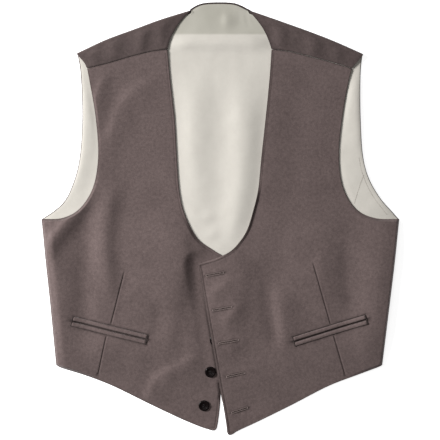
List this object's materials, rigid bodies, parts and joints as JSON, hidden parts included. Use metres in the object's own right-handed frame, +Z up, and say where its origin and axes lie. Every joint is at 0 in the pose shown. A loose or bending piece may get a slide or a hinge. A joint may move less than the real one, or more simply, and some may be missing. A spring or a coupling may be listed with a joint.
{
  "type": "waistcoat",
  "caption": "Tailored wool waistcoat lying flat and unfastened: deep horseshoe neck, satin back lining, double-welt pockets, long darts, pointed fronts, round buttons.",
  "frame": {"origin": "on the table top, under the middle of the box round the garment", "axes": "+X towards the wearer's left, +Y from the hem to the neck, +Z up away from the table"},
  "size_m": [0.5345, 0.6479, 0.0099],
  "materials": {
    "wool": "matte taupe flannel with a fine heather",
    "satin": "soft cream satin lining",
    "button": "polished black"
  },
  "bodies": {
    "root": {"back": "wool", "back_lining": "satin", "right_front": "wool", "left_front": "wool", "right_pocket_upper_welt": "wool", "right_pocket_lower_welt": "wool", "left_pocket_upper_welt": "wool", "left_pocket_lower_welt": "wool", "button_1": "button", "button_2": "button", "button_3": "button", "button_4": "button", "button_5": "button"}
  },
  "joints": []
}
